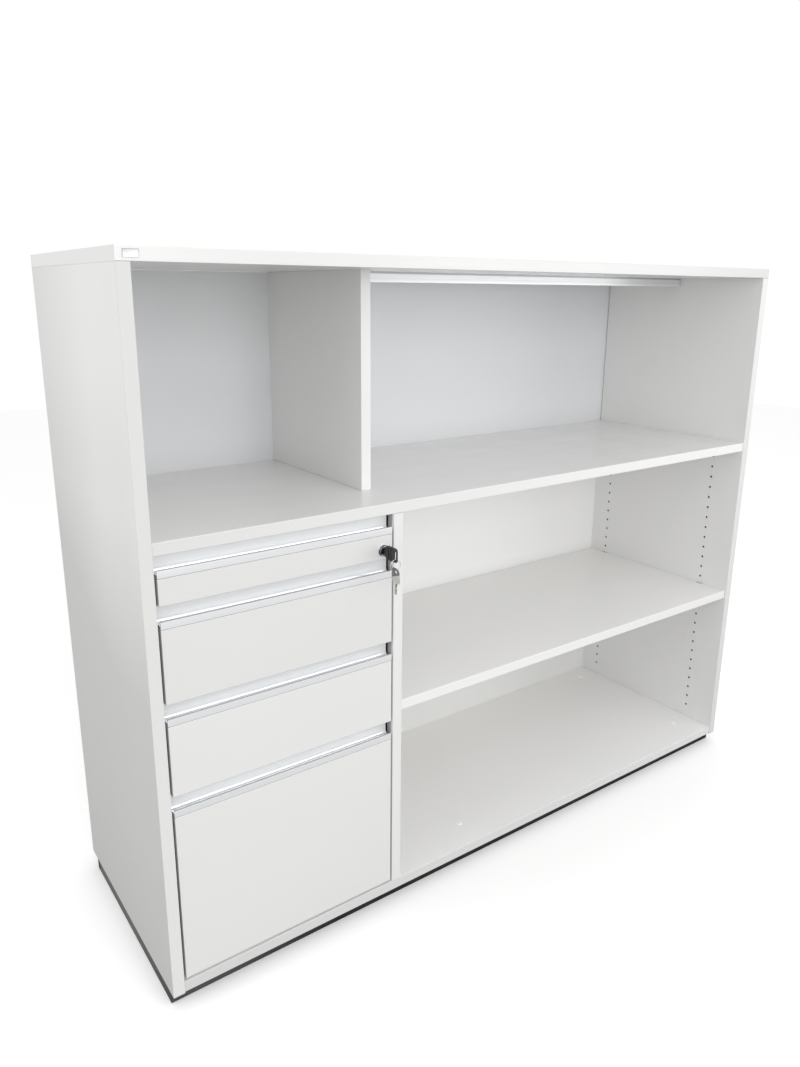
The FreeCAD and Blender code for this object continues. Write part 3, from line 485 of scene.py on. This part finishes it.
# The plate's rim is painted dark: painted shade.
piece("pressed_name_plate", shape, (plate_low + plate_high) / 2,
      anodised("plate_aluminium", (60, 900, 2500), plate_rim_shade), "carcass", "grip_aluminium", "bare_name_plate")

# Drawers
# Four drawers: a board front with an extruded grip rail on its upper edge, screwed to a folded steel box that
# runs on telescopic slides. Two flat rails in the lowest box carry hanging files.
front_whites = Vector((1.0, 0.996, 0.984)), Vector((0.981, 0.978, 0.968))
# Each drawer front's white is scaled by a tone of its own, lighter on the lower two: painted light and shade.
front_light_tones = (0.790, 0.800, 0.836, 0.836)
# Painted shade on the grips: a shadow line along the lip, and the lip's face darker than the trough.
lip_shadow_line, lip_shadow_depth = 0.0117, 0.0024
lip_face_shade_depth, lip_face_shade_share = 0.0004, 0.08
joint_line = 0.0006
grip_metal, grip_rough = 0.27, (0.20, 0.26)
lip_height, lip_thickness, lip_rounding = 12.8, 2.0, 0.98
grip_floor, grip_wall, grip_curve = 5.9, 1.5, 6.0
coat_gloss, coat_drift = (0.32, 0.4), 0.96
peel_scale, peel_depth = 420, 0.00006


def powder_coat(name, colour):
    """Baked powder coat with its fine orange peel."""
    made, tree, shader, place = finish(name)
    tone, wipe = drifting(tree, place)
    darker = [coat_drift * c for c in colour[:3]] + [1]
    tree.links.new(mixed(tree, between(tree, tone, 0, 1), colour, darker), shader["Base Color"])
    tree.links.new(between(tree, wipe, *coat_gloss), shader["Roughness"])
    bumped(tree, shader, noise(tree, place, peel_scale, 1.0), peel_depth, 0.4)
    return made


box_finish = powder_coat("coat_grey_boxes", (0.60, 0.61, 0.62, 1))
slide_finish = zinc("zinc_slides", (900, 30, 900))


def grip_lines(rail):
    """Mask of a grip rail's dark lines: painted shadow along its lip, and a dark joint where it meets the
    front board. The lip's face is painted a little darker than the trough, as shade."""
    low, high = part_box(rail)

    def lines(tree, place):
        above = worked(tree, "SUBTRACT", axes_of(tree, place)["Z"], low.z)
        behind = worked(tree, "SUBTRACT", axes_of(tree, place)["Y"], low.y)
        lip_shadow = worked(tree, "MULTIPLY", worked(tree, "GREATER_THAN", above, lip_shadow_line),
                        worked(tree, "LESS_THAN", behind, lip_shadow_depth))
        lip_face_shade = worked(tree, "MULTIPLY", worked(tree, "LESS_THAN", behind, lip_face_shade_depth), lip_face_shade_share)
        joint = worked(tree, "LESS_THAN", above, joint_line)
        return worked(tree, "MAXIMUM", worked(tree, "MAXIMUM", lip_shadow, joint), lip_face_shade)
    return lines


def cut_plate(outlines, thickness):
    """Upright plate or bar across X from its outline and the outlines of its holes, each of distances in
    front of the drawer's face and heights."""
    shape = bmesh.new()
    edges = []
    for outline in outlines:
        corners = [shape.verts.new((-thickness / 2, -out, up)) for out, up in outline]
        edges += [shape.edges.new(ends) for ends in zip(corners, corners[1:] + corners[:1])]
    bmesh.ops.triangle_fill(shape, edges=edges, use_beauty=True, use_dissolve=True, normal=(1, 0, 0))
    raised = bmesh.ops.extrude_face_region(shape, geom=list(shape.faces))["geom"]
    far_corners = [v for v in raised if isinstance(v, bmesh.types.BMVert)]
    bmesh.ops.translate(shape, vec=(thickness, 0, 0), verts=far_corners)
    bmesh.ops.recalc_face_normals(shape, faces=shape.faces)
    return shape


def corner_edges(shape, out, up):
    """Edges across the plate at one corner of its outline, above and below."""
    across = [e for e in shape.edges if abs(e.verts[0].co.x - e.verts[1].co.x) > hair]
    return [e for e in across
            if all(abs(v.co.y + out) < hair and abs(abs(v.co.z) - up) < hair for v in e.verts)]


def extruded_grip(rail):
    """One drawer's grip rail and its place: a rounded lip, a trough with a curved rear and a wall, hollow
    underneath."""
    low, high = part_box(rail)
    size = (high - low) / millimetre
    wall_face = size.y - grip_wall
    shape = cut_plate([[(0, 0), (0, lip_height), (-lip_thickness, lip_height), (-lip_thickness, grip_floor),
                        (-wall_face, grip_floor), (-wall_face, size.z), (-size.y, size.z), (-size.y, 0),
                        (-wall_face, 0), (-wall_face, grip_floor - grip_wall),
                        (-lip_thickness, grip_floor - grip_wall), (-lip_thickness, 0)]], size.x)
    for depth in (0, lip_thickness):
        softened(shape, corner_edges(shape, -depth, lip_height), lip_rounding, 4)
    softened(shape, corner_edges(shape, -wall_face, grip_floor), grip_curve, 12)
    return shape, ((low.x + high.x) / 2, low.y, low.z)


for number, tone in enumerate(front_light_tones, 1):
    drawer = "drawer_%d_" % number
    melamine(drawer + "front", whites=[(*(tone * white), 1) for white in front_whites])
    grip = drawer + "grip_rail"
    silver = anodised("aluminium_" + grip, rolled_stretch, grip_lines(grip), grip_metal, grip_rough)
    piece(drawer + "grip_extrusion", *extruded_grip(grip), silver, "drawer_%d" % number, "grip_aluminium",
          grip)
    dress(box_finish, drawer + "box")
    dress(slide_finish, drawer + "runners_inner", drawer + "runners_middle")
dress(slide_finish, "runners_outer", "hanging_file_rails")

# Lock
# A chromed housing holds the turning core. Its driver pin pushes the bolt in its case, and the bolt lifts the
# locking bar that runs in three guides beside the drawers.
lock_low, lock_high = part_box("lock_housing")
lock_middle = (lock_low + lock_high) / 2
lock_middle.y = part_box("drawer_1_front")[0].y
chrome_light, chrome_dark = (0.84, 0.85, 0.87, 1), (0.72, 0.73, 0.75, 1)
chrome_gloss, haze_scale = (0.06, 0.14), 300
# The rosette's groove is painted near black, as painted dark reflection and shade.
groove_inner, groove_outer, groove_dark_reflection = 0.0077, 0.0087, (0.08, 0.08, 0.085, 1)
core_light, core_dark = (0.16, 0.16, 0.17, 1), (0.09, 0.09, 0.10, 1)
core_gloss, core_stretch = (0.25, 0.4), (900, 60, 900)
rosette_profile = [(6.1, 19), (6.1, -3.0), (7.6, -3.0), (7.9, -0.8), (9.2, -0.8), (9.5, -2.1), (10.0, -2.0),
                   (10.3, -1.3), (10.3, 0), (8.5, 0), (8.5, 19)]
rosette_edge, rosette_steps = 0.18, 64


def turned(profile, steps):
    """Ring turned from a closed profile of radius and depth, about an axis along Y."""
    shape = bmesh.new()
    corners = [shape.verts.new((radius, depth, 0)) for radius, depth in profile]
    edges = [shape.edges.new(ends) for ends in zip(corners, corners[1:] + corners[:1])]
    bmesh.ops.spin(shape, geom=corners + edges, cent=(0, 0, 0), axis=(0, 1, 0), angle=2 * math.pi,
                   steps=steps, use_merge=True)
    return shape


chrome, tree, shader, place = finish("lock_chrome", metallic=1.0)
haze = noise(tree, place, haze_scale, 3.0)
polished = mixed(tree, haze, chrome_light, chrome_dark)
off_axis = node(tree, "ShaderNodeVectorMath", {0: place, 1: lock_middle}, operation="SUBTRACT").outputs[0]
across = node(tree, "ShaderNodeVectorMath", {0: off_axis, 1: (1, 0, 1)}, operation="MULTIPLY").outputs[0]
radius = node(tree, "ShaderNodeVectorMath", {0: across}, operation="LENGTH").outputs["Value"]
# Painted dark reflection and shade in the rosette's groove.
in_groove = worked(tree, "MULTIPLY", worked(tree, "GREATER_THAN", radius, groove_inner),
                   worked(tree, "LESS_THAN", radius, groove_outer))
tree.links.new(mixed(tree, in_groove, polished, groove_dark_reflection), shader["Base Color"])
tree.links.new(between(tree, haze, *chrome_gloss), shader["Roughness"])
rosette = turned(rosette_profile, rosette_steps)
softened(rosette, sharp_edges(rosette, 25), rosette_edge, 2)
piece("lock_rosette", rosette, lock_middle, chrome, "drawer_1", "lock_chrome", "lock_housing")
lock_steel = zinc("zinc_lock_parts", (400, 400, 900))
dress(lock_steel, "lock_bolt", "lock_case", "locking_bar", "locking_bar_guides", "key_blade")
dark_steel, tree, shader, place = finish("dark_lock_core", metallic=1.0)
turning = noise(tree, stretched(tree, place, core_stretch), 1.0, 3.0)
tree.links.new(mixed(tree, turning, core_light, core_dark), shader["Base Color"])
tree.links.new(between(tree, turning, *core_gloss), shader["Roughness"])
dress(dark_steel, "lock_core")

# Key
# The neck on the blade and the head are moulded in black plastic. The head folds about an upright steel pin
# through the knuckles of both, and has a raised rim and a slot for the ring.
key_black = moulded("key_black", (0.024, 0.024, 0.025, 1), 0.38, 0.5)
key_thick, head_thick = 4.4, 2.6
neck_start, flare, shoulder, neck_end = 4.2, 14, 16.6, 23.6
collar_half, neck_half, knuckle_half = 5.6, 11.8, 4.5
neck_outline = [(neck_start, collar_half), (flare, neck_half), (shoulder, neck_half),
                (shoulder, knuckle_half), (neck_end, knuckle_half), (neck_end, -knuckle_half),
                (shoulder, -knuckle_half), (shoulder, -neck_half), (flare, -neck_half),
                (neck_start, -collar_half)]
neck_corner, neck_edge = 1.5, 0.3
groove_ends, groove_rim, groove_depth = (16.7, 19.3), 0.12, 1.6
fold, head_start, head_end, head_half = 21.4, 23.9, 39.3, 11.8
head_corner, head_edge = 4.5, 0.35
slot_start, slot_end, slot_half, slot_corner = 32.0, 37.5, 7.0, 1.2
lug_start, lug_end, lug_depth = 4.8, 11.6, 5.0
knuckle_round = key_thick / 2 - 0.02
pin_radius, pin_end, pin_proud = 0.8, 0.25, 0.2


def upright_edges(shape, out):
    """Edges along Z at a distance in front of the drawer's face."""
    along = [e for e in shape.edges if abs(e.verts[0].co.x - e.verts[1].co.x) < hair]
    return [e for e in along if all(abs(v.co.y + out) < hair for v in e.verts)]


neck = cut_plate([neck_outline], key_thick)
softened(neck, upright_edges(neck, neck_end), knuckle_round, 6)
softened(neck, corner_edges(neck, flare, neck_half), neck_corner, 3)
softened(neck, sharp_edges(neck, 40), neck_edge, 2)
for end in groove_ends:
    bmesh.ops.bisect_plane(neck, geom=neck.verts[:] + neck.edges[:] + neck.faces[:], plane_co=(0, -end, 0),
                           plane_no=(0, 1, 0))
strips = [f for f in neck.faces if abs(f.normal.x) > 0.9 and
          groove_ends[0] < -f.calc_center_median().y < groove_ends[1]]
bmesh.ops.inset_region(neck, faces=strips, thickness=groove_rim, depth=-groove_depth)
piece("moulded_key_neck", neck, lock_middle, key_black, "key", "key_plastic", "key_neck")

window = [(slot_start, -slot_half), (slot_start, slot_half), (slot_end, slot_half), (slot_end, -slot_half)]
head = cut_plate([[(head_start, -head_half), (head_end, -head_half), (head_end, head_half),
                   (head_start, head_half)], window], head_thick)
softened(head, corner_edges(head, head_end, head_half), head_corner, 6)
for end in (slot_start, slot_end):
    softened(head, corner_edges(head, end, slot_half), slot_corner, 3)
softened(head, sharp_edges(head, 40), head_edge, 2)
for side in (1, -1):
    lug = bmesh.ops.create_cube(head, size=1)["verts"]
    bmesh.ops.scale(head, vec=(key_thick, lug_depth, lug_end - lug_start), verts=lug)
    middle = (0, -(fold - key_thick / 2 + lug_depth / 2), side * (lug_start + lug_end) / 2)
    bmesh.ops.translate(head, vec=middle, verts=lug)
    ends = [e for e in upright_edges(head, fold - key_thick / 2) if e.verts[0] in lug]
    softened(head, ends, knuckle_round, 6)
piece("moulded_key_head", head, lock_middle, key_black, "folding_key_head", "key_plastic", "key_head")

pin = bmesh.new()
bmesh.ops.create_cone(pin, cap_ends=True, segments=20, radius1=pin_radius, radius2=pin_radius,
                      depth=2 * lug_end + pin_proud)
softened(pin, sharp_edges(pin, 60), pin_end, 2)
bmesh.ops.translate(pin, vec=(0, -fold, 0), verts=pin.verts)
piece("key_hinge_pin", pin, lock_middle, lock_steel, "folding_key_head", "key_steel")

# Key ring and spare key
# A split ring wound from two turns of steel wire hangs in the head's slot. The spare key on it is stamped
# from flat steel, its blade cut on one side. The upper half of its bow is painted dark grey and not metallic,
# as a painted dark reflection, and its blade is a darker grey than the bow.
ring_radius, wire_radius, ring_pitch = 9.7, 0.42, 0.86
ring_out, ring_drop = 34.7, 16.2
wire_sides, ring_turns, turn_steps = 10, 2, 96
ring_light, ring_dark = (0.86, 0.86, 0.87, 1), (0.74, 0.74, 0.75, 1)
ring_gloss, wire_scale = (0.24, 0.36), 500
ring_steel, tree, shader, place = finish("ring_steel", metallic=1.0)
drawn = noise(tree, stretched(tree, place, (wire_scale,) * 3), 1.0, 3.0)
tree.links.new(mixed(tree, drawn, ring_light, ring_dark), shader["Base Color"])
tree.links.new(between(tree, drawn, *ring_gloss), shader["Roughness"])
ring = bmesh.new()
wire = bmesh.ops.create_circle(ring, cap_ends=False, segments=wire_sides, radius=wire_radius)["verts"]
bmesh.ops.translate(ring, vec=(ring_radius, -ring_pitch, 0), verts=wire)
bmesh.ops.spin(ring, geom=wire + list(ring.edges), cent=(0, 0, 0), axis=(0, 1, 0),
               angle=ring_turns * 2 * math.pi, dvec=(0, ring_turns * ring_pitch / turn_steps, 0),
               steps=turn_steps)
bmesh.ops.holes_fill(ring, edges=[e for e in ring.edges if e.is_boundary], sides=wire_sides)
bmesh.ops.translate(ring, vec=(0, -ring_out, -ring_drop), verts=ring.verts)
piece("split_key_ring", ring, lock_middle, ring_steel, "hanging_ring", "key_steel", "key_ring")

spare_outline = [(25.4, -24.0), (25.2, -38.0), (26.2, -43.5), (29.0, -46.0), (33.6, -46.6), (33.6, -64.4),
                 (35.0, -66.0), (37.4, -65.0), (38.2, -62.6), (37.2, -60.6), (38.6, -58.4), (38.9, -56.2),
                 (37.4, -53.8), (38.6, -51.4), (39.4, -48.6), (39.4, -46.4), (44.4, -45.2), (45.7, -42.6),
                 (45.7, -27.5), (43.0, -23.2), (36.0, -20.6), (28.5, -20.8)]
spare_thick, spare_edge, spare_hole = 1.6, 0.25, 2.8
hole_out, hole_drop, hole_corners = 36.6, 27.0, 24
# Painted dark reflection on the upper half of the spare key's bow.
dark_reflection_slope, dark_reflection_start = -0.37, -0.0470
bow_foot = -0.0466
blade_line, blade_half = -0.0360, 0.0009
dark_reflection_grey = (0.155, 0.155, 0.157, 1)
spare_light, spare_dark = (0.72, 0.70, 0.66, 1), (0.58, 0.565, 0.53, 1)
blade_grey, milled_grey = (0.30, 0.295, 0.28, 1), (0.62, 0.61, 0.58, 1)
spare_gloss, spare_metal, brush_stretch = (0.25, 0.4), 0.9, (300, 2500, 300)
steps = [2 * math.pi * i / hole_corners for i in range(hole_corners)]
round_hole = [(hole_out + spare_hole * math.cos(a), spare_hole * math.sin(a) - hole_drop) for a in steps]
spare = cut_plate([spare_outline, round_hole], spare_thick)
softened(spare, sharp_edges(spare, 60), spare_edge, 2)
spare_steel, tree, shader, place = finish("spare_key_steel")
brushed = noise(tree, stretched(tree, place, brush_stretch), 1.0, 3.0)
plated = mixed(tree, brushed, spare_light, spare_dark)
from_lock = node(tree, "ShaderNodeVectorMath", {0: place, 1: lock_middle}, operation="SUBTRACT").outputs[0]
along = axes_of(tree, from_lock)
# Painted dark reflection above a slanted line across the bow.
dark_reflection_level = worked(tree, "MULTIPLY_ADD", along["Y"], dark_reflection_slope, dark_reflection_start)
in_dark_reflection = worked(tree, "GREATER_THAN", along["Z"], dark_reflection_level)
on_blade = worked(tree, "LESS_THAN", along["Z"], bow_foot)
in_groove = worked(tree, "COMPARE", along["Y"], blade_line, blade_half)
blade_toned = mixed(tree, on_blade, plated, blade_grey)
milled = mixed(tree, worked(tree, "MULTIPLY", on_blade, in_groove), blade_toned, milled_grey)
tree.links.new(mixed(tree, in_dark_reflection, milled, dark_reflection_grey), shader["Base Color"])
tree.links.new(between(tree, in_dark_reflection, spare_metal, 0, 0, 1), shader["Metallic"])
tree.links.new(between(tree, brushed, *spare_gloss), shader["Roughness"])
piece("spare_key", spare, lock_middle, spare_steel, "hanging_ring", "key_steel")

# Studio
# Pale floor, a soft dome of light, and large soft lights in front, at the right, at the left and high up,
# with a strip that only the gloss of curved metal shows.
floor_size, floor_glow = 14.0, 0.14
floor_grey, glow_grey = (0.30, 0.30, 0.30, 1), (0.26, 0.26, 0.26, 1)
floor_mesh = bpy.data.meshes.new("studio_floor")
floor = bpy.data.objects.new("studio_floor", floor_mesh)
half = floor_size / 2
floor_mesh.from_pydata([(-half, -half, 0), (half, -half, 0), (half, half, 0), (-half, half, 0)], [],
                       [(0, 1, 2, 3)])
bpy.context.scene.collection.objects.link(floor)
floor_finish, tree, shader, place = finish("studio_floor", roughness=0.9, specular_ior_level=0.1)
pale = mixed(tree, noise(tree, place, 1.5, 2.0), (1.0, 1.0, 1.0, 1), (0.99, 0.99, 0.99, 1))
seen = node(tree, "ShaderNodeLightPath").outputs["Is Camera Ray"]
tree.links.new(mixed(tree, seen, floor_grey, pale), shader["Base Color"])
tree.links.new(mixed(tree, seen, glow_grey, (1, 1, 1, 1)), shader["Emission Color"])
shader["Emission Strength"].default_value = floor_glow
floor_mesh.materials.append(floor_finish)

world = bpy.data.worlds.new("studio_dome")
world.use_nodes = True
backdrop_white, dome_light = 1.02, 0.83
tree = world.node_tree
seen = node(tree, "ShaderNodeLightPath").outputs["Is Camera Ray"]
dome = tree.nodes["Background"].inputs
dome["Color"].default_value = (1, 1, 1, 1)
tree.links.new(between(tree, seen, dome_light, backdrop_white, 0, 1), dome["Strength"])
bpy.context.scene.world = world


def soft_light(name, place, target, width, height, power, mirrored=True, lit=True):
    """Large rectangular light that faces a point. One that isn't mirrored shows in no gloss, and one that
    isn't lit shows in gloss alone."""
    lamp = bpy.data.lights.new(name, "AREA")
    lamp.shape = "RECTANGLE"
    lamp.size = width
    lamp.size_y = height
    lamp.energy = power
    made = bpy.data.objects.new(name, lamp)
    made.location = place
    made.rotation_euler = (Vector(target) - Vector(place)).to_track_quat("-Z", "Y").to_euler()
    made.visible_glossy = mirrored
    made.visible_diffuse = lit
    bpy.context.scene.collection.objects.link(made)


soft_light("light_front", (-0.6, -4.0, 1.4), (0, 0, 0.6), 3.0, 2.2, 44)
soft_light("light_right", (3.0, -3.2, 1.0), (0.2, 0, 0.5), 2.0, 1.5, 19)
soft_light("light_left", (-2.6, -0.1, 0.9), (0, -0.1, 0.8), 1.8, 1.2, 11, mirrored=False)
soft_light("light_high", (0, -3.2, 3.8), (0, 0, 0.5), 3.0, 2.0, 20)
soft_light("light_strip", (1.2, -3.2, 3.8), (1.2, 0, 0.5), 3.0, 0.5, 85, lit=False)

# Camera
# It stands left of the middle, a little below the top's height, and looks down to the right.
photo_width, photo_height = 800, 1067
focal_pixels, sensor_width = 821.2, 36.0
centre_pixels = (398.7, 516.2)
camera_place = (-1.0351, -1.2643, 1.0994)
turn, tilt, roll = math.radians(-35.733), math.radians(-15.350), math.radians(0.449)
camera_data = bpy.data.cameras.new("photo_camera")
camera_data.sensor_width = sensor_width
camera_data.lens = sensor_width * focal_pixels / photo_height
camera_data.shift_x = (photo_width / 2 - centre_pixels[0]) / photo_height
camera_data.shift_y = (centre_pixels[1] - photo_height / 2) / photo_height
camera = bpy.data.objects.new("photo_camera", camera_data)
looking = Euler((math.pi / 2 + tilt, 0, turn)).to_matrix() @ Matrix.Rotation(roll, 3, "Z")
camera.matrix_world = Matrix.Translation(camera_place) @ looking.to_4x4()
bpy.context.scene.collection.objects.link(camera)
bpy.context.scene.camera = camera
bpy.context.scene.view_settings.view_transform = "Standard"
